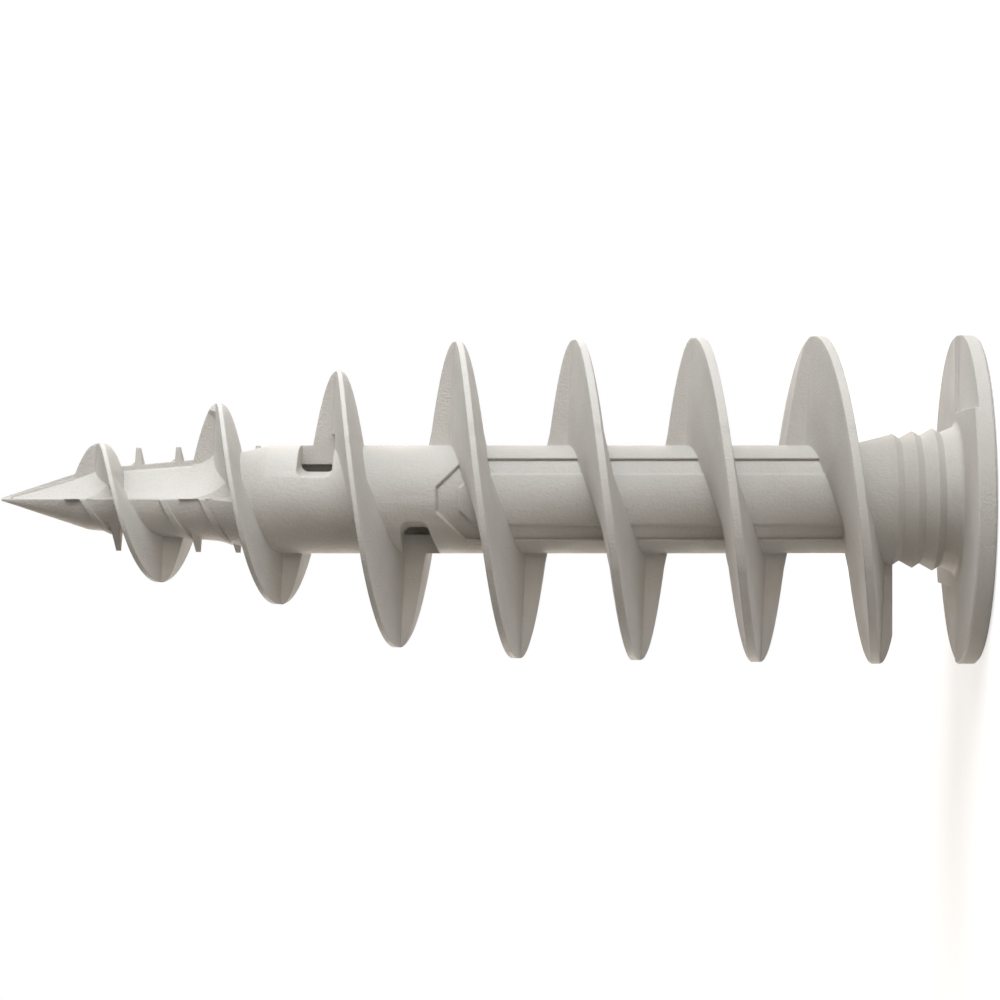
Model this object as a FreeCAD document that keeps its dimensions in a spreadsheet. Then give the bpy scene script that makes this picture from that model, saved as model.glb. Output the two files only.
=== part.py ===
import FreeCAD, Part
import os
import re
from math import pi, sin, cos, radians
import Sketcher
from FreeCAD import Vector, Placement, Rotation

# Spiral insulation anchor, moulded in one piece from glass-filled nylon.
# Heights run along +Z from the outer face of the flange, on which it stands,
# to the drill point. The two mould halves part in the XZ plane and open
# along Y, so the spiral is relieved towards that plane on both sides.

doc = FreeCAD.newDocument("InsulationAnchor")

sizes = doc.addObject("Spreadsheet::Sheet", "Sizes")
VALUES = [
    ("total_length", 90.0, "flange face to point"),
    ("shank_radius", 5.0, "plain round shank"),
    ("point_radius", 0.13, "blunt end of the point"),
    ("point_length", 8.1, "steep cone of the point"),
    ("point_base_radius", 2.8, "core where the point cone ends"),
    ("core_length", 12.0, "slender core below the point"),
    ("core_base_radius", 3.85, "core where the shoulder starts"),
    ("shoulder_length", 4.7, "swelling from core to shank"),
    ("shoulder_round", 2.5, "rounding of the shoulder"),
    ("flange_radius", 15.2, "round head flange"),
    ("flange_thickness", 1.7, "head flange"),
    ("flange_edge", 0.2, "chamfer of the flange's rim"),
    ("sector_depth", 0.38, "thinner sectors of the flange"),
    ("sector_offset", 8.1, "from the axis to a thin sector"),
    ("neck_height", 11.8, "where the neck starts to widen"),
    ("ring_height", 3.9, "crest of the lowest neck ring"),
    ("ring_pitch", 1.85, "from ring to ring"),
    ("ring_radius", 6.59, "crest of the lowest ring"),
    ("ring_taper", 0.25, "each ring smaller than the last"),
    ("ring_depth", 0.42, "crest to groove"),
    ("ring_back", 0.65, "crest to groove, along the axis"),
    ("flare_radius", 6.85, "neck where it meets the flange"),
    ("flare_round", 0.7, "rounding into the flange"),
    ("pitch", 11.07, "rise of the spiral in one turn"),
    ("first_crest_drop", 9.0, "point to the first crest, on the +X side"),
    ("run_out_height", 7.5, "flat end of the spiral"),
    ("crest_start", 5.12, "crest radius at the first crest"),
    ("crest_half_turn", 7.67, "half a turn on"),
    ("crest_one_turn", 8.87, "one turn on"),
    ("crest_three_halves", 9.7, "one and a half turns on"),
    ("crest_two_turns", 11.85, "two turns on"),
    ("crest_five_halves", 13.7, "two and a half turns on"),
    ("crest_three_turns", 14.6, "three turns on"),
    ("crest_end", 15.2, "crest radius where the spiral ends"),
    ("land_start", 0.42, "width of the crest near the point"),
    ("land_end", 0.78, "width of the crest near the flange"),
    ("flank_slope_top", 0.05, "flank draft at the parting plane"),
    ("flank_slope_side", 0.115, "flank draft at front and back"),
    ("relief_slope", 0.013, "draft of the relieved flank"),
    ("relief_angle", 25.0, "degrees past front and back where relief starts"),
    ("ridge_rise", 0.25, "height of a cutting ridge above the core"),
    ("ridge_land", 0.56, "width of a ridge's crest"),
    ("ridge_slope", 0.18, "flank draft of a ridge"),
    ("tooth_radius", 4.72, "reach of a tooth level with the first crest"),
    ("tooth_growth", 0.37, "what a tooth two turns on reaches more"),
    ("tooth_root", 1.1, "width of a tooth at its root"),
    ("tooth_land", 0.45, "width of a tooth's crest"),
    ("tooth_depth", 0.75, "depth of a tooth to the core's radius"),
    ("flute_radius", 6.0, "round tool that hollows a flute"),
    ("flute_ratio", 0.857, "height of a flute flat to its depth"),
    ("flute_land", 0.3, "narrow land left beside a flute"),
    ("flute_overrun", 0.2, "share by which a flat's cutter passes the core"),
    ("point_flute_drop", 7.0, "point to the round end's centre of the first flute"),
    ("core_flute_start", 11.15, "point to the start of the second flute"),
    ("core_flute_drop", 17.7, "point to the centre of its round end"),
    ("back_flute_drop", 10.6, "point to the round end's centre of the back flute"),
    ("front_flat_drop", 22.2, "point to the lower end of the front flat"),
    ("back_flat_drop", 16.6, "point to the lower end of the back flat"),
    ("channel_radius", 3.24, "drive channel, out to its lobes"),
    ("channel_waist", 2.75, "drive channel between its lobes"),
    ("lobe_radius", 0.75, "rounding of each lobe"),
    ("channel_drop", 26.8, "point to where the channel closes"),
    ("pilot_radius", 1.5, "screw hole beyond the channel"),
    ("pilot_drop", 23.4, "point to where the screw hole closes"),
    ("mouth_radius", 3.6, "plain round mouth of the channel"),
    ("mouth_depth", 2.5, "depth of the plain mouth"),
    ("mouth_chamfer", 0.4, "chamfer at the mouth"),
    ("window_offset", 2.0, "axis to the near edge of a window"),
    ("window_corner", 0.7, "rounded window corners"),
    ("window_draft", 0.16, "draft of the wall nearest the axis"),
    ("window_slant", 0.37, "slant of the lower front window's bottom edge"),
    ("front_window_drop", 40.65, "point to the lower front window's bottom edge"),
    ("front_window_rise", 3.4, "length of that window"),
    ("upper_window_drop", 31.05, "point to the upper front window's bottom edge"),
    ("upper_window_rise", 3.25, "length of that window"),
    ("back_window_drop", 36.0, "point to the back window on the -X side"),
    ("back_window_rise", 2.8, "length of that window"),
    ("rear_window_drop", 35.1, "point to the back window on the +X side"),
    ("rear_window_rise", 3.4, "length of that window"),
    ("panel_drop", 40.65, "point to the upper end of the shank panel"),
    ("panel_low", 12.4, "lower end of the shank panel"),
    ("panel_half_width", 3.65, "outer edge of the panel groove"),
    ("panel_tip_half", 1.05, "half width of its upper end"),
    ("groove_width", 1.25, "panel groove along its sides"),
    ("groove_end", 1.9, "panel groove at its upper end"),
    ("groove_depth", 0.3, "depth of the panel groove"),
    ("groove_chamfer", 0.2, "chamfer of the groove's edges"),
]
for row, (name, value, note) in enumerate(VALUES, 1):
    sizes.set("A%d" % row, name)
    sizes.set("B%d" % row, str(value))
    sizes.set("C%d" % row, note)
    sizes.setAlias("B%d" % row, name)
doc.recompute()


def bind(text):
    """Expression text with every size name pointed at the sheet."""
    return re.sub(r"[a-z][a-z_]{3,}", lambda name: "Sizes." + name.group(0), text)


def value(text):
    """Number that a sum of named sizes gives now."""
    return float(sizes.evalExpression(bind(text)))


def closed_outline(sketch, corners):
    """Closed run of lines through corners, each held by two driven distances."""
    points = [Vector(value(across), value(up), 0) for across, up in corners]
    count = len(points)
    for index in range(count):
        sketch.addGeometry(Part.LineSegment(points[index], points[(index + 1) % count]))
    for index in range(count):
        after = (index + 1) % count
        sketch.addConstraint(Sketcher.Constraint("Coincident", index, 2, after, 1))
    for index, pair in enumerate(corners):
        for kind, text in zip(("DistanceX", "DistanceY"), pair):
            place = Sketcher.Constraint(kind, -1, 1, index, 1, value(text))
            number = sketch.addConstraint(place)
            if text != "0":
                sketch.setExpression("Constraints[%d]" % number, bind(text))


def origin_plane(body, role):
    """Origin plane of a body, found by its role."""
    return [item for item in body.Origin.OriginFeatures if item.Role == role][0]


def plane_sketch(body, name, role):
    """Empty sketch on one of the body's own origin planes."""
    sketch = body.newObject("Sketcher::SketchObject", name)
    sketch.AttachmentSupport = [(origin_plane(body, role), "")]
    sketch.MapMode = "FlatFace"
    return sketch


def ring_edges(shape, corners):
    """Names of the circular edges that pass through the given corners."""
    names = []
    for across, up in corners:
        for number, edge in enumerate(shape.Edges, 1):
            if not isinstance(edge.Curve, Part.Circle):
                continue
            near_radius = abs(edge.Curve.Radius - value(across)) < 1e-4
            if near_radius and abs(edge.Curve.Center.z - value(up)) < 1e-4:
                names.append("Edge%d" % number)
    return names


def rounded(body, base, name, corners, radius):
    """Fillet of the base's circular edges at the given corners."""
    fillet = body.newObject("PartDesign::Fillet", name)
    fillet.Base = (base, ring_edges(base.Shape, corners))
    fillet.setExpression("Radius", bind(radius))
    doc.recompute()
    return fillet


# Core: point, slender core, shoulder, shank, ringed neck and flange, turned
# about the axis. The rings are shallow saw teeth that widen to the flange.
core = doc.addObject("PartDesign::Body", "Core")
core_sketch = plane_sketch(core, "CoreProfile", "XZ_Plane")

RING_COUNT = 3
ring_corners = []
crest_corners = []
for ring in range(RING_COUNT):
    crest = ("ring_radius - %d * ring_taper" % ring, "ring_height + %d * ring_pitch" % ring)
    ring_corners.append((crest[0] + " - ring_depth", crest[1] + " - ring_back"))
    ring_corners.append(crest)
    crest_corners.append(crest)
last_crest = crest_corners[-1]
neck_corner = (last_crest[0] + " - ring_depth / 2", last_crest[1] + " + ring_back")

point_corner = ("point_base_radius", "total_length - point_length")
shoulder_top = ("core_base_radius", point_corner[1] + " - core_length")
shoulder_low = ("shank_radius", shoulder_top[1] + " - shoulder_length")
flare_corner = ("flare_radius", "flange_thickness")
rim_corners = [("flange_radius", "0"), ("flange_radius", "flange_thickness")]

closed_outline(core_sketch, [("0", "0")] + rim_corners + [flare_corner] + ring_corners + [
    neck_corner,
    ("shank_radius", "neck_height"),
    shoulder_low,
    shoulder_top,
    point_corner,
    ("point_radius", "total_length"),
    ("0", "total_length"),
])
turned = core.newObject("PartDesign::Revolution", "CoreTurned")
turned.Profile = core_sketch
turned.ReferenceAxis = (core_sketch, ["V_Axis"])
turned.Angle = 360
doc.recompute()

rim = core.newObject("PartDesign::Chamfer", "RimChamfer")
rim.Base = (turned, ring_edges(turned.Shape, rim_corners))
rim.setExpression("Size", bind("flange_edge"))
doc.recompute()
step = rounded(core, rim, "FlareRounding", [flare_corner], "flare_round")
step = rounded(core, step, "ShoulderRounding", [shoulder_low, shoulder_top], "shoulder_round")
step = rounded(core, step, "PointRounding", [point_corner], "shoulder_round")
core.Tip = step
core.Placement = Placement(Vector(0, 0, 0), Rotation(Vector(0, 0, 1), 45))
doc.recompute()


# Spiral. Its angle grows from the first crest, on the +X side, round by the
# front (-Y), -X and the back towards the flange: a right-hand thread.
PITCH = value("pitch")
TOP = value("total_length - first_crest_drop")
CRESTS = [value("crest_start"), value("crest_half_turn"), value("crest_one_turn"),
          value("crest_three_halves"), value("crest_two_turns"), value("crest_five_halves"),
          value("crest_three_turns")]
SPLINE_STEPS = 8
HALF_TURNS = int((TOP - value("run_out_height")) / (PITCH / 2))


def crest_radius(angle):
    """Crest radius, straight between half turns, then growing slowly to the end."""
    turn = max(angle / pi, 0.0)
    last = len(CRESTS) - 1
    if turn < last:
        low = int(turn)
        return CRESTS[low] + (CRESTS[low + 1] - CRESTS[low]) * (turn - low)
    share = (turn - last) / (HALF_TURNS - last)
    return CRESTS[last] + (value("crest_end") - CRESTS[last]) * min(share, 1.0)


def crest_height(angle):
    """Height of the middle of the crest."""
    return TOP - PITCH * angle / (2 * pi)


def land(angle):
    """Width of the crest land, widening over the middle turns."""
    share = min(max((angle / pi - 4) / 6, 0.0), 1.0)
    return value("land_start") + (value("land_end") - value("land_start")) * share


def edge_point(angle, side):
    """Point of the crest's edge: side +1 faces the point, -1 the flange."""
    reach = crest_radius(angle)
    up = crest_height(angle) + side * land(angle) / 2
    return Vector(reach * cos(angle), -reach * sin(angle), up)


def relief_foot(angle, side):
    """Where the line drawn straight back from the crest's edge meets the parting plane."""
    edge = edge_point(angle, side)
    return Vector(edge.x, 0, edge.z + side * value("relief_slope") * abs(edge.y))


def free_slope(angle):
    """Draft of a free flank, least at the parting plane and most at front and back."""
    low = value("flank_slope_top")
    return low + (value("flank_slope_side") - low) * sin(angle) ** 2


def axis_point(angle, side):
    """Where the free flank's ruling through the crest's edge meets the axis."""
    reach = crest_radius(angle)
    up = crest_height(angle) + side * (land(angle) / 2 + free_slope(angle) * reach)
    return Vector(0, 0, up)


def curve(place, first, last, side):
    """Smooth edge through the points that place gives between two angles."""
    steps = [first + (last - first) * step / SPLINE_STEPS for step in range(SPLINE_STEPS + 1)]
    spline = Part.BSplineCurve()
    spline.interpolate(Points=[place(angle, side) for angle in steps], Parameters=steps)
    return spline.toShape()


def line(first, last):
    """Straight edge between two points."""
    return Part.makeLine(first, last)


def solid_of(faces):
    """Solid bounded by faces that meet edge to edge."""
    shell = Part.makeShell(faces)
    shell.sewShape()
    solid = Part.makeSolid(shell if shell.ShapeType == "Shell" else shell.Shells[0])
    if solid.Volume < 0:
        solid.reverse()
    return solid


def block(low, high):
    """Box between two opposite corners."""
    size = high - low
    return Part.makeBox(size.x, size.y, size.z, low)


REACH = 2 * value("flange_radius")


def relieved(edge, side):
    """Flank drawn straight back from an edge to the parting plane, slightly drafted."""
    front = edge.CenterOfMass.y < 0
    way = Vector(0, REACH if front else -REACH, side * value("relief_slope") * REACH)
    tall = 2 * value("total_length")
    wide = block(Vector(-REACH, -REACH, -tall), Vector(REACH, 0, tall))
    if not front:
        wide.translate(Vector(0, REACH, 0))
    return edge.extrude(way).common(wide).Faces[0]


def on_parting_plane(face):
    """Edges of a face that lie in the parting plane."""
    return [edge for edge in face.Edges
            if edge.Length > 1e-4 and all(abs(edge.valueAt(edge.FirstParameter + share * (
                edge.LastParameter - edge.FirstParameter)).y) < 1e-4 for share in (0, 0.5, 1))]


def flight_half(start):
    """Half a turn of the spiral, in front of or behind the parting plane.

    The flank towards the point is a free helicoid from the start until a little
    past the middle. From there it runs straight back to the parting plane, so
    that the mould opens. The flank towards the flange does the same the other
    way round.
    """
    end = start + pi
    low_change = start + pi / 2 - radians(value("relief_angle"))
    tip_change = start + pi / 2 + radians(value("relief_angle"))
    stops = [start, low_change, tip_change, end]
    spans = list(zip(stops, stops[1:]))
    tip = [curve(edge_point, first, last, 1) for first, last in spans]
    low = [curve(edge_point, first, last, -1) for first, last in spans]
    faces = [Part.makeRuledSurface(tip[index], low[index]) for index in range(3)]
    axis = []
    for side, edges, free in ((1, tip, (0, 1)), (-1, low, (1, 2))):
        for index in free:
            first, last = spans[index]
            middle = line(axis_point(first, side), axis_point(last, side))
            faces.append(Part.makeRuledSurface(edges[index], middle))
            axis.append(middle)
    bounds = list(axis)
    for side, edges, index, change in ((1, tip, 2, tip_change), (-1, low, 0, low_change)):
        curved = relieved(edges[index], side)
        # From the last free ruling a flat runs back to the parting plane too.
        corners = [place(change, side) for place in (edge_point, relief_foot, axis_point)]
        flat = Part.Face(Part.makePolygon(corners + corners[:1]))
        faces += [curved, flat]
        bounds += on_parting_plane(curved) + on_parting_plane(flat)
    for angle in (start, end):
        rim = [edge_point(angle, 1), edge_point(angle, -1)]
        bounds.append(line(rim[0], rim[1]))
        side = 1 if angle == start else -1
        bounds.append(line(edge_point(angle, side), axis_point(angle, side)))
    faces.append(Part.Face(Part.Wire(Part.__sortEdges__(bounds))))
    return solid_of(faces)


spiral_solids = [flight_half(pi * number) for number in range(HALF_TURNS)]
# The spiral starts on a quarter turn at the back and ends on a flat face.
spiral_solids.append(flight_half(-pi).common(
    block(Vector(0, 0, 0), Vector(REACH, REACH, value("total_length")))))
spiral_solids.append(flight_half(pi * HALF_TURNS).common(
    block(Vector(-REACH, -REACH, value("run_out_height")), Vector(REACH, REACH, REACH))))
spiral = doc.addObject("Part::Feature", "Spiral")
spiral.Shape = spiral_solids[0].fuse(spiral_solids[1:])


def core_radius(height):
    """Radius of the slender core, or of the point's cone, at a height."""
    base = value("total_length") - value("point_length")
    if height < base:
        slope = (value("core_base_radius") - value("point_base_radius")) / value("core_length")
        return value("point_base_radius") + slope * (base - height)
    slope = (value("point_base_radius") - value("point_radius")) / value("point_length")
    return max(value("point_base_radius") - slope * (height - base), value("point_radius") / 4)


# Cutting ridges: two more starts of the same thread between the turns of the
# spiral, low and only a quarter turn long, at the front below the axis (-X) and
# at the back above it (+X). Each ends in a tooth on the parting plane.
def ridge_point(angle, shift, side, inner):
    """Corner of a ridge's section, on its crest or buried in the core."""
    middle = crest_height(angle) - shift
    crest = core_radius(middle) + value("ridge_rise")
    reach = crest - value("ridge_land") - value("ridge_rise") if inner else crest
    half = value("ridge_land") / 2 + value("ridge_slope") * (crest - reach)
    return Vector(reach * cos(angle), -reach * sin(angle), middle + side * half)


def ridge(last_angle, shift):
    """Quarter turn of a ridge that ends on the parting plane."""
    first_angle = last_angle - pi / 2

    def run(side, inner):
        return curve(lambda angle, _: ridge_point(angle, shift, side, inner),
                     first_angle, last_angle, side)

    def cap(angle):
        corners = [ridge_point(angle, shift, side, inner)
                   for side, inner in ((1, False), (1, True), (-1, True), (-1, False))]
        return Part.Face(Part.makePolygon(corners + corners[:1]))

    tip_crest, tip_root = run(1, False), run(1, True)
    low_crest, low_root = run(-1, False), run(-1, True)
    return solid_of([
        Part.makeRuledSurface(tip_crest, low_crest),
        Part.makeRuledSurface(tip_crest, tip_root),
        Part.makeRuledSurface(low_crest, low_root),
        Part.makeRuledSurface(tip_root, low_root),
        cap(first_angle),
        cap(last_angle),
    ])


def slab_between(low, high):
    """Solid with flat sides between two outlines that have as many corners."""
    outlines = [low, high]
    for index in range(len(low)):
        after = (index + 1) % len(low)
        outlines.append([low[index], low[after], high[after], high[index]])
    return solid_of([Part.Face(Part.makePolygon(corners + corners[:1])) for corners in outlines])


def tooth(angle, shift):
    """Tooth on the parting plane whose slanting back runs down into the core."""
    height = crest_height(angle) - shift
    side = 1 if cos(angle) > 0 else -1
    body = core_radius(height)
    share = (TOP - height) / (2 * PITCH)
    crest = value("tooth_radius") + value("tooth_growth") * share
    depth = body * value("tooth_depth")
    inner = body / 3
    root_half = value("tooth_root") / 2
    taper = (root_half - value("tooth_land") / 2) / (crest - inner)

    def section(back, reach):
        half = root_half - taper * (reach - inner)
        return [Vector(side * inner, side * back, height - root_half),
                Vector(side * inner, side * back, height + root_half),
                Vector(side * reach, side * back, height + half),
                Vector(side * reach, side * back, height - half)]

    return slab_between(section(0, crest), section(depth, (body ** 2 - depth ** 2) ** 0.5))


THIRD = PITCH / 3
RIDGES = [(pi * number, -THIRD) for number in (1, 2, 3)]
RIDGES += [(pi * number, THIRD) for number in (0, 1, 2)]
ribs = doc.addObject("Part::Feature", "CuttingRidges")
ribs.Shape = Part.makeCompound([ridge(*place).fuse(tooth(*place)) for place in RIDGES])


def half_turned(shape):
    """Copy of a shape turned half round the axis."""
    copy = shape.copy()
    copy.rotate(Vector(0, 0, 0), Vector(0, 0, 1), 180)
    return copy


def gusset(angle):
    """Web on the point side of a crest, sloping from its top to the core's front.

    It fills the outline that the relieved flank makes on the parting plane, and
    a slanting plane limits it towards the front.
    """
    first = angle - pi / 2 + radians(value("relief_angle"))
    left = curve(relief_foot, first, angle, 1)
    right = curve(lambda turn, _: Vector(crest_radius(turn) * cos(turn), 0, crest_height(turn)),
                  angle, angle + pi / 2, 0)
    hub = axis_point(first, 1)
    crest_foot = Vector(crest_radius(angle) * cos(angle), 0, crest_height(angle))
    arch = Part.Face(Part.Wire([
        left,
        line(relief_foot(angle, 1), crest_foot),
        right,
        line(Vector(0, 0, crest_height(angle + pi / 2)), hub),
        line(hub, relief_foot(first, 1)),
    ]))
    side = 1 if cos(angle) > 0 else -1
    depth = core_radius(crest_height(angle))
    arch = arch.extrude(Vector(0, -side * depth, 0))
    crest = side * crest_radius(angle)
    low = crest_height(angle) - PITCH
    corners = [Vector(0, 0, low), Vector(0, -side * depth, low), Vector(crest, 0, low)]
    wedge = Part.Face(Part.makePolygon(corners + corners[:1])).extrude(Vector(0, 0, 2 * PITCH))
    return arch.common(wedge)


gussets = doc.addObject("Part::Feature", "Gussets")
gussets.Shape = Part.makeCompound([gusset(pi * number) for number in (0, 1, 2)])


def flat_tool(low):
    """Cutter that leaves a flat from the core's front line to its top line."""
    far = value("shank_radius") + 3
    past = value("flute_overrun")

    def section(height):
        depth = core_radius(height)
        rise = depth * value("flute_ratio")
        return [Vector(-rise * past, -depth * (1 + past), height), Vector(rise, 0, height),
                Vector(far, 0, height), Vector(far, -far, height),
                Vector(-rise * past, -far, height)]

    base = value("total_length") - value("point_length")
    high = value("total_length") + value("point_radius")
    upper = slab_between(section(base), section(high))
    return slab_between(section(low), section(base)).fuse(upper).removeSplitter()


def flute_centre(height):
    """Centre of the round flute tool at a height, outside the middle of the flat."""
    depth = core_radius(height)
    rise = depth * value("flute_ratio")
    chord = (depth ** 2 + rise ** 2) ** 0.5
    used = max(chord - 2 * value("flute_land"), 0)
    sunk = used ** 2 / (8 * value("flute_radius"))
    out = value("flute_radius") - sunk
    return Vector(rise / 2 + depth / chord * out, -depth / 2 - rise / chord * out, height)


def flute_tool(heights):
    """Round tool that runs through the given heights with a ball end."""
    radius = value("flute_radius")
    places = [flute_centre(height) for height in heights]
    pieces = []
    for first, last in zip(places, places[1:]):
        way = last - first
        pieces.append(Part.makeCylinder(radius, way.Length, first, way))
        pieces.append(Part.makeSphere(radius, last, way))
    tool = pieces[0].fuse(pieces[1:])
    far = 3 * radius
    high = value("total_length") + radius
    gap = value("flute_land") / 4
    return tool.common(block(Vector(gap, -far, heights[-1] - far), Vector(far, -gap, high)))


FLUTE_TOP = value("total_length") + value("point_radius")
point_run = [FLUTE_TOP, value("total_length - point_flute_drop")]
core_run = [value("total_length - core_flute_start"), value("total_length - core_flute_drop")]
back_run = point_run[:1] + [value("total_length") - value("point_length")]
back_run.append(value("total_length - back_flute_drop"))

flats = doc.addObject("Part::Feature", "Flats")
flats.Shape = Part.makeCompound([flat_tool(value("total_length - front_flat_drop")),
                                 half_turned(flat_tool(value("total_length - back_flat_drop")))])
flutes = doc.addObject("Part::Feature", "Flutes")
flutes.Shape = Part.makeCompound([flute_tool(point_run), flute_tool(core_run),
                                  half_turned(flute_tool(back_run))])


def joined(name, shapes):
    """Fusion of several objects, with its faces left as they meet."""
    fusion = doc.addObject("Part::MultiFuse", name)
    fusion.Shapes = shapes
    fusion.Refine = False
    return fusion


def cut_from(name, base, tool):
    """Base with a tool's shape taken away, with its faces left as they meet."""
    cut = doc.addObject("Part::Cut", name)
    cut.Base = base
    cut.Tool = tool
    cut.Refine = False
    return cut


# Shallow octagonal groove round the panel on the front and the back of the
# shank, cut down to a smaller cylinder.
panel = doc.addObject("PartDesign::Body", "Panel")
panel_sketch = plane_sketch(panel, "PanelOutline", "XZ_Plane")
side_low = "panel_low"
panel_end = "total_length - panel_drop"
outer_top = panel_end + " - panel_half_width + panel_tip_half"
inner_half = "panel_half_width - groove_width"
inner_top = panel_end + " - groove_end"
inner_side = inner_top + " - panel_half_width + groove_width + panel_tip_half"
closed_outline(panel_sketch, [
    ("panel_half_width", side_low),
    ("panel_half_width", outer_top),
    ("panel_tip_half", panel_end),
    ("-panel_tip_half", panel_end),
    ("-panel_half_width", outer_top),
    ("-panel_half_width", side_low),
    ("groove_width - panel_half_width", side_low),
    ("groove_width - panel_half_width", inner_side),
    ("-panel_tip_half", inner_top),
    ("panel_tip_half", inner_top),
    (inner_half, inner_side),
    (inner_half, side_low),
])
panel_pad = panel.newObject("PartDesign::Pad", "PanelPad")
panel_pad.Profile = panel_sketch
panel_pad.Midplane = True
panel_pad.setExpression("Length", bind("2 * shank_radius + 2"))
skin = doc.addObject("Part::Cylinder", "ShankSkin")
skin.setExpression("Radius", bind("shank_radius"))
skin.setExpression("Height", bind(panel_end + " + neck_height"))
groove_floor = doc.addObject("Part::Cylinder", "GrooveFloor")
groove_floor.setExpression("Radius", bind("shank_radius - groove_depth"))
groove_floor.setExpression("Height", bind(panel_end + " + neck_height"))
proud = cut_from("GrooveWalls", panel, groove_floor)
grooved = cut_from("GroovedSkin", skin, proud)
doc.recompute()
lips = []
for number, edge in enumerate(grooved.Shape.Edges, 1):
    ends = [vertex.Point for vertex in edge.Vertexes]
    reaches = [(end.x ** 2 + end.y ** 2) ** 0.5 for end in ends]
    above = min(end.z for end in ends) > value("panel_low") - 1e-6 and len(ends) == 2
    level = max(end.z for end in ends) < value("panel_low") + 1e-6
    seam = max(abs(end.y) for end in ends) < 1e-6
    inside = max(end.z for end in ends) < value(panel_end) + 1e-6
    if above and inside and not level and not seam:
        if min(reaches) > value("shank_radius") - 1e-4:
            lips.append((number, value("groove_chamfer"), value("groove_chamfer")))
lipped = doc.addObject("Part::Chamfer", "ChamferedSkin")
lipped.Base = grooved
lipped.Edges = lips
groove = cut_from("PanelGroove", skin, lipped)

# Two opposite sectors of the flange are a little thinner.
sectors = []
for name, left, front in (("FrontSector", "sector_offset", "-flange_radius - 1"),
                          ("BackSector", "-flange_radius - 1", "0")):
    sector = doc.addObject("Part::Box", name)
    sector.setExpression("Length", bind("flange_radius + 1 - sector_offset"))
    sector.setExpression("Width", bind("flange_radius + 1"))
    sector.setExpression("Height", bind("sector_depth * 2"))
    sector.setExpression("Placement.Base.x", bind(left))
    sector.setExpression("Placement.Base.y", bind(front))
    sector.setExpression("Placement.Base.z", bind("flange_thickness - sector_depth"))
    sectors.append(sector)

flat_core = cut_from("FlatCore", core, flats)
webbed_core = joined("WebbedCore", [flat_core, gussets])
shaped_core = cut_from("ShapedCore", webbed_core, joined("CoreCuts", [flutes, groove] + sectors))
blank = joined("Blank", [shaped_core, spiral, ribs])
doc.recompute()

# Channel for the driver and the screw: a plain mouth, six lobes round a waist,
# and a smaller hole for the screw's point.
channel_end = "total_length - channel_drop"
pilot_end = "total_length - pilot_drop"
channel = doc.addObject("PartDesign::Body", "Channel")
channel_sketch = plane_sketch(channel, "ChannelProfile", "XZ_Plane")
closed_outline(channel_sketch, [
    ("0", "0"),
    ("mouth_radius + mouth_chamfer", "0"),
    ("mouth_radius", "mouth_chamfer"),
    ("mouth_radius", "mouth_depth"),
    ("channel_waist", "mouth_depth"),
    ("channel_waist", channel_end),
    ("pilot_radius", channel_end),
    ("pilot_radius", pilot_end),
    ("0", pilot_end),
])
channel_turned = channel.newObject("PartDesign::Revolution", "ChannelTurned")
channel_turned.Profile = channel_sketch
channel_turned.ReferenceAxis = (channel_sketch, ["V_Axis"])
channel_turned.Angle = 360
doc.recompute()
lobe_sketch = plane_sketch(channel, "LobeOutline", "XY_Plane")
lobe_centre = "channel_radius - lobe_radius"
lobe_sketch.addGeometry(Part.Circle(Vector(value(lobe_centre), 0, 0), Vector(0, 0, 1),
                                    value("lobe_radius")))
lobe_sketch.addConstraint(Sketcher.Constraint("PointOnObject", 0, 3, -1))
across = lobe_sketch.addConstraint(
    Sketcher.Constraint("DistanceX", -1, 1, 0, 3, value(lobe_centre)))
around = lobe_sketch.addConstraint(Sketcher.Constraint("Radius", 0, value("lobe_radius")))
lobe_sketch.setExpression("Constraints[%d]" % across, bind(lobe_centre))
lobe_sketch.setExpression("Constraints[%d]" % around, bind("lobe_radius"))
lobe_pad = channel.newObject("PartDesign::Pad", "LobePad")
lobe_pad.Profile = lobe_sketch
lobe_pad.setExpression("Length", bind(channel_end))
doc.recompute()
lobes = channel.newObject("PartDesign::PolarPattern", "Lobes")
lobes.Originals = [lobe_pad]
lobes.Axis = (channel_sketch, ["V_Axis"])
lobes.Angle = 360
lobes.Occurrences = 6
channel.Tip = lobes
doc.recompute()

# Windows through the shank's wall, beside the spiral, from the parting plane
# part of the way round: two at the front and two at the back. The wall nearest
# the axis is drafted, so that the mould opens.
def window(side, front, low, high, slant):
    """Cutter with rounded corners; slant lowers the bottom edge away from the axis."""
    far = value("shank_radius") + 1
    near = value("window_offset")
    skin = (value("shank_radius") ** 2 - near ** 2) ** 0.5

    def section(depth):
        inner = near + value("window_draft") * (skin - depth)
        rise = slant * (value("shank_radius") - inner)
        drop = slant * (value("shank_radius") - far)
        corners = [Vector(side * inner, front * depth, low + rise),
                   Vector(side * inner, front * depth, high),
                   Vector(side * far, front * depth, high),
                   Vector(side * far, front * depth, low + drop)]
        return corners if side != front else corners[::-1]

    cutter = slab_between(section(0), section(far))
    inner_edges = []
    for edge in cutter.Edges:
        ends = [vertex.Point for vertex in edge.Vertexes]
        if abs(ends[0].y - ends[1].y) > far / 2 and abs(ends[0].x) < value("shank_radius"):
            inner_edges.append(edge)
    return cutter.makeFillet(value("window_corner"), inner_edges)


WINDOWS = [
    (1, -1, "upper_window_drop", "upper_window_rise", 0),
    (-1, -1, "front_window_drop", "front_window_rise", value("window_slant")),
    (-1, 1, "back_window_drop", "back_window_rise", 0),
    (1, 1, "rear_window_drop", "rear_window_rise", 0),
]
windows = doc.addObject("Part::Feature", "Windows")
windows.Shape = Part.makeCompound([
    window(side, front, value("total_length - " + drop),
           value("total_length - " + drop + " + " + rise), slant)
    for side, front, drop, rise, slant in WINDOWS])

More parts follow.
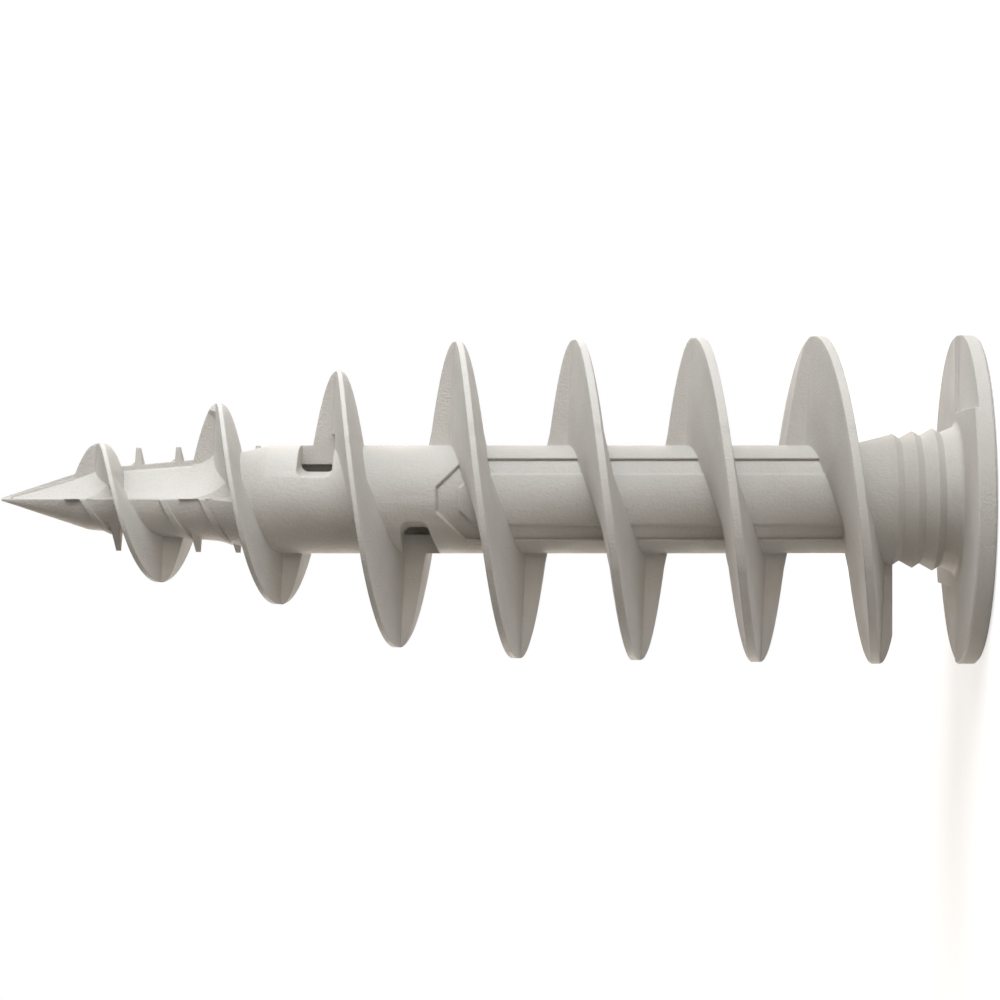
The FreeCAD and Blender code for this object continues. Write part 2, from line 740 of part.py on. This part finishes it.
anchor = cut_from("AnchorBody", blank, joined("Hollows", [channel, windows]))
anchor.Label = "anchor_body"
doc.recompute()

for item in doc.Objects:
    if "Invalid" in item.State or "Error" in item.State:
        raise RuntimeError("%s failed to build" % item.Name)
shape = anchor.Shape
if shape.isNull() or not shape.isValid() or len(shape.Solids) != 1:
    raise RuntimeError("%s isn't one valid solid" % anchor.Label)

os.makedirs("parts", exist_ok=True)
shape.exportStep("parts/%s.step" % anchor.Label)
print("%s: %.1f mm3, %d faces" % (anchor.Label, shape.Volume, len(shape.Faces)))
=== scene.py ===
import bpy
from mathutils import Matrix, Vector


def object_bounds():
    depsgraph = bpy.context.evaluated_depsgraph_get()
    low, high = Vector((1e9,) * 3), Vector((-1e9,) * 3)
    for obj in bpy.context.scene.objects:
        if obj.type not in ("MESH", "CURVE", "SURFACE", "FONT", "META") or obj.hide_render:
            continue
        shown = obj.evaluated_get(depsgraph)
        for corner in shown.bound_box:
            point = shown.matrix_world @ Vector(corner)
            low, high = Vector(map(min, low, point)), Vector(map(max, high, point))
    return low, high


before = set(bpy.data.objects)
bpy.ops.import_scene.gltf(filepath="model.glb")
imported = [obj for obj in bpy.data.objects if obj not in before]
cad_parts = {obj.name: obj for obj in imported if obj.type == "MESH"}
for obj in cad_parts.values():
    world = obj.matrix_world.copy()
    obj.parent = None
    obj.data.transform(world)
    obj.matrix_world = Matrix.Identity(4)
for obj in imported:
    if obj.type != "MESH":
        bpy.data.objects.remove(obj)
cad_box = [list(corner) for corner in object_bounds()]

import bpy
import numpy as np
from mathutils import Matrix, Vector

scene = bpy.context.scene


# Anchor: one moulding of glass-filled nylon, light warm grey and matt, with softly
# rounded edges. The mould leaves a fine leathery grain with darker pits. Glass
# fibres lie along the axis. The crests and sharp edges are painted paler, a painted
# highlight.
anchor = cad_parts["anchor_body"]
moulded_grey = (0.605, 0.588, 0.557, 1)
cloudy_grey = (0.650, 0.633, 0.602, 1)
fibre_grey = (0.72, 0.70, 0.67, 1)
pit_grey = (0.50, 0.482, 0.45, 1)
# painted highlight colour for the crests and edges
crest_highlight_grey = (0.76, 0.745, 0.715, 1)
edge_rounding = 0.00018
grain_depth = 0.00008
waviness_depth = 0.0002
light_reach_inside = (0.0012, 0.0011, 0.0009)
fibre_squash = (1, 1, 0.3)
grain_squash = (1, 1, 0.8)

nylon = bpy.data.materials.new("glass_filled_nylon")
nylon.use_nodes = True
nylon_tree = nylon.node_tree
nylon_tree.nodes.clear()


def noise(tree, place, scale, detail, roughness):
    """Value of a noise whose grains are about one part in scale of a metre wide."""
    node = tree.nodes.new("ShaderNodeTexNoise")
    node.inputs["Scale"].default_value = scale
    node.inputs["Detail"].default_value = detail
    node.inputs["Roughness"].default_value = roughness
    tree.links.new(place, node.inputs["Vector"])
    return node.outputs["Fac"]


def remapped(tree, value, from_low, from_high, to_low, to_high):
    """Value carried in a straight line from one range to another and kept inside it."""
    node = tree.nodes.new("ShaderNodeMapRange")
    node.inputs["From Min"].default_value = from_low
    node.inputs["From Max"].default_value = from_high
    node.inputs["To Min"].default_value = to_low
    node.inputs["To Max"].default_value = to_high
    tree.links.new(value, node.inputs["Value"])
    return node.outputs["Result"]


def blended(tree, share, first, second):
    """First colour, which is a socket or a colour, turned to the second by a share."""
    node = tree.nodes.new("ShaderNodeMix")
    node.data_type = "RGBA"
    tree.links.new(share, node.inputs["Factor"])
    if isinstance(first, tuple):
        node.inputs["A"].default_value = first
    else:
        tree.links.new(first, node.inputs["A"])
    node.inputs["B"].default_value = second
    return node.outputs["Result"]


def raised(tree, height, strength, distance, normal):
    """Normal bent by a height in metres, on top of another normal."""
    node = tree.nodes.new("ShaderNodeBump")
    node.inputs["Strength"].default_value = strength
    node.inputs["Distance"].default_value = distance
    tree.links.new(height, node.inputs["Height"])
    tree.links.new(normal, node.inputs["Normal"])
    return node.outputs["Normal"]


place = nylon_tree.nodes.new("ShaderNodeTexCoord").outputs["Object"]
along = nylon_tree.nodes.new("ShaderNodeMapping")
along.inputs["Scale"].default_value = fibre_squash
nylon_tree.links.new(place, along.inputs["Vector"])
leathery = nylon_tree.nodes.new("ShaderNodeMapping")
leathery.inputs["Scale"].default_value = grain_squash
nylon_tree.links.new(place, leathery.inputs["Vector"])

clouds = remapped(nylon_tree, noise(nylon_tree, place, 160, 4, 0.55), 0.3, 0.7, 0, 1)
fibres = remapped(nylon_tree, noise(nylon_tree, along.outputs["Vector"], 5200, 2, 0.6),
                  0.56, 0.72, 0, 0.22)
pits = remapped(nylon_tree, noise(nylon_tree, leathery.outputs["Vector"], 6400, 1, 0.5),
                0.40, 0.30, 0, 0.35)
# Painted highlight: convex crests and edges, found by pointiness, are painted paler.
curvature = nylon_tree.nodes.new("ShaderNodeNewGeometry").outputs["Pointiness"]
painted_crest_highlight = remapped(nylon_tree, curvature, 0.52, 0.62, 0, 0.5)
grey = blended(nylon_tree, clouds, moulded_grey, cloudy_grey)
grey = blended(nylon_tree, fibres, grey, fibre_grey)
grey = blended(nylon_tree, pits, grey, pit_grey)
grey = blended(nylon_tree, painted_crest_highlight, grey, crest_highlight_grey)

soft_edges = nylon_tree.nodes.new("ShaderNodeBevel")
soft_edges.samples = 4
soft_edges.inputs["Radius"].default_value = edge_rounding
grain = noise(nylon_tree, leathery.outputs["Vector"], 4600, 2, 0.6)
waviness = noise(nylon_tree, place, 420, 5, 0.5)
normal = raised(nylon_tree, grain, 0.8, grain_depth, soft_edges.outputs["Normal"])
normal = raised(nylon_tree, waviness, 0.12, waviness_depth, normal)

plastic = nylon_tree.nodes.new("ShaderNodeBsdfPrincipled")
plastic.inputs["IOR"].default_value = 1.53
plastic.inputs["Specular IOR Level"].default_value = 0.22
plastic.inputs["Subsurface Weight"].default_value = 0.06
plastic.inputs["Subsurface Radius"].default_value = light_reach_inside
plastic.inputs["Subsurface Scale"].default_value = 1.0
nylon_tree.links.new(grey, plastic.inputs["Base Color"])
nylon_tree.links.new(remapped(nylon_tree, waviness, 0.3, 0.7, 0.46, 0.64),
                     plastic.inputs["Roughness"])
nylon_tree.links.new(normal, plastic.inputs["Normal"])
surface = nylon_tree.nodes.new("ShaderNodeOutputMaterial")
nylon_tree.links.new(plastic.outputs["BSDF"], surface.inputs["Surface"])

for slot in anchor.material_slots:
    slot.material = nylon


# Floor: a round of white paper under the flange. The camera sees it white, and
# it keeps the anchor's shadow.
floor_radius = 0.25
floor_drop = 0.0001
floor_corners = 96
paper_grey = (0.85, 0.85, 0.85, 1)
paper_glow = 0.66


def disc(radius, height, corners):
    """Corners of a flat round: radius times cosine and sine of equal turns, at a height."""
    turn = np.linspace(0, 2 * np.pi, corners, endpoint=False)
    return np.stack([radius * np.cos(turn), radius * np.sin(turn),
                     np.full_like(turn, height)], axis=1)


floor_mesh = bpy.data.meshes.new("floor")
floor_mesh.from_pydata(disc(floor_radius, -floor_drop, floor_corners).tolist(), [],
                       [list(range(floor_corners))])
floor = bpy.data.objects.new("floor", floor_mesh)
scene.collection.objects.link(floor)

paper = bpy.data.materials.new("white_paper")
paper.use_nodes = True
paper_tree = paper.node_tree
paper_tree.nodes.clear()


def seen_rays(tree):
    """One for camera, glossy and transmission rays, and zero for all others."""
    path = tree.nodes.new("ShaderNodeLightPath")
    seen = path.outputs["Is Camera Ray"]
    for kind in ("Is Glossy Ray", "Is Transmission Ray"):
        larger = tree.nodes.new("ShaderNodeMath")
        larger.operation = "MAXIMUM"
        tree.links.new(seen, larger.inputs[0])
        tree.links.new(path.outputs[kind], larger.inputs[1])
        seen = larger.outputs["Value"]
    return seen


matt = paper_tree.nodes.new("ShaderNodeBsdfDiffuse")
matt.inputs["Color"].default_value = paper_grey
glow = paper_tree.nodes.new("ShaderNodeEmission")
paper_tree.links.new(remapped(paper_tree, seen_rays(paper_tree), 0, 1, 0, paper_glow),
                     glow.inputs["Strength"])
paper_sum = paper_tree.nodes.new("ShaderNodeAddShader")
paper_tree.links.new(matt.outputs["BSDF"], paper_sum.inputs[0])
paper_tree.links.new(glow.outputs["Emission"], paper_sum.inputs[1])
paper_surface = paper_tree.nodes.new("ShaderNodeOutputMaterial")
paper_tree.links.new(paper_sum.outputs["Shader"], paper_surface.inputs["Surface"])
floor_mesh.materials.append(paper)


# Camera: in front of the anchor, over a third of the way up and turned on its side,
# so that the anchor lies across the picture with its point to the left. The
# picture plane is parallel to the axis, and the shift centres the anchor.
camera_distance = 0.2395
camera_height = 0.0339
camera_data = bpy.data.cameras.new("camera")
camera_data.lens = 93.1
camera_data.sensor_width = 36
camera_data.shift_x = -0.1074
camera_data.shift_y = -0.0006
camera_data.clip_start = 0.01
camera_data.clip_end = 20
camera = bpy.data.objects.new("camera", camera_data)
scene.collection.objects.link(camera)
camera.matrix_world = Matrix((
    (0, 1, 0, 0),
    (0, 0, -1, -camera_distance),
    (-1, 0, 0, camera_height),
    (0, 0, 0, 1),
))
scene.camera = camera


# Lights: soft ones above the picture, towards the point and beside the camera,
# and two weak ones behind, in a dim surround that the camera and the reflections
# see as white.
middle = Vector((0, 0, cad_box[1][2] / 2))
cool = (0.84, 0.92, 1.0)
neutral = (1.0, 1.0, 1.0)
warm = (1.0, 0.88, 0.75)
surround_tint = (1.0, 0.86, 0.70, 1)
surround_strength = 0.06


def soft_light(name, position, width, height, watts, colour):
    """Rectangular lamp at a place in metres that faces the middle of the anchor."""
    data = bpy.data.lights.new(name, "AREA")
    data.shape = "RECTANGLE"
    data.size = width
    data.size_y = height
    data.energy = watts
    data.color = colour
    light = bpy.data.objects.new(name, data)
    scene.collection.objects.link(light)
    light.location = position
    light.rotation_mode = "QUATERNION"
    light.rotation_quaternion = (middle - Vector(position)).to_track_quat("-Z", "Y")


soft_light("key", (0.55, -0.22, 0.05), 0.35, 0.30, 2.15, cool)
soft_light("point_side", (0.42, -0.20, 0.50), 0.5, 0.5, 2.3, neutral)
soft_light("beside_camera", (0.36, -0.46, 0.05), 0.4, 0.4, 1.0, warm)
soft_light("high_back", (0.35, 0.45, 0.05), 0.5, 0.5, 1.5, warm)
soft_light("low_back", (-0.35, 0.35, 0.10), 0.5, 0.5, 1.7, warm)

world = bpy.data.worlds.new("surround")
scene.world = world
world.use_nodes = True
world_tree = world.node_tree
world_tree.nodes.clear()
dim = world_tree.nodes.new("ShaderNodeBackground")
dim.inputs["Color"].default_value = surround_tint
dim.inputs["Strength"].default_value = surround_strength
white = world_tree.nodes.new("ShaderNodeBackground")
white.inputs["Color"].default_value = (1, 1, 1, 1)
white.inputs["Strength"].default_value = 1
either = world_tree.nodes.new("ShaderNodeMixShader")
world_tree.links.new(seen_rays(world_tree), either.inputs["Fac"])
world_tree.links.new(dim.outputs["Background"], either.inputs[1])
world_tree.links.new(white.outputs["Background"], either.inputs[2])
surround = world_tree.nodes.new("ShaderNodeOutputWorld")
world_tree.links.new(either.outputs["Shader"], surround.inputs["Surface"])

scene.view_settings.view_transform = "Standard"
